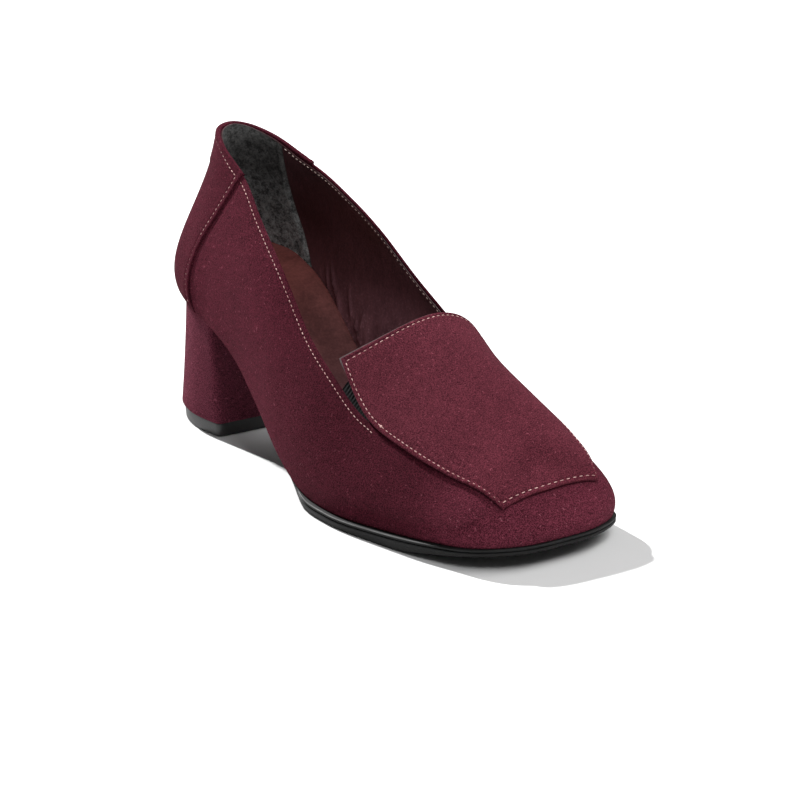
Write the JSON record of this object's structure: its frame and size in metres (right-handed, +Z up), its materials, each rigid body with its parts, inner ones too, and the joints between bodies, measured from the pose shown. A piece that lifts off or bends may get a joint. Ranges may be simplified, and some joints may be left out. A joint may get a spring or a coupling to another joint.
{
  "type": "suede shoe",
  "caption": "Women's slip-on right shoe of burgundy suede with a broad stitched apron, square toe, elastic gores and a covered block heel.",
  "frame": {"origin": "middle of the shoe's box, on the floor that it stands on", "axes": "+Y to the toe, +X to the outer side of the right foot, +Z up"},
  "size_m": [0.0938, 0.2408, 0.1243],
  "materials": {
    "suede": "burgundy suede with a short nap",
    "lining_leather": "red-brown lining leather, satin",
    "elastic": "black ribbed elastic",
    "heel_grip": "charcoal napped leather",
    "thread": "cream cotton thread",
    "sole_rubber": "black, semi-gloss"
  },
  "bodies": {
    "root": {"upper": "suede", "apron": "suede", "heel_counter": "suede", "gore_outer": "elastic", "gore_inner": "elastic", "insole": "lining_leather", "outsole": "sole_rubber", "heel": "suede", "top_piece": "sole_rubber"}
  },
  "joints": []
}
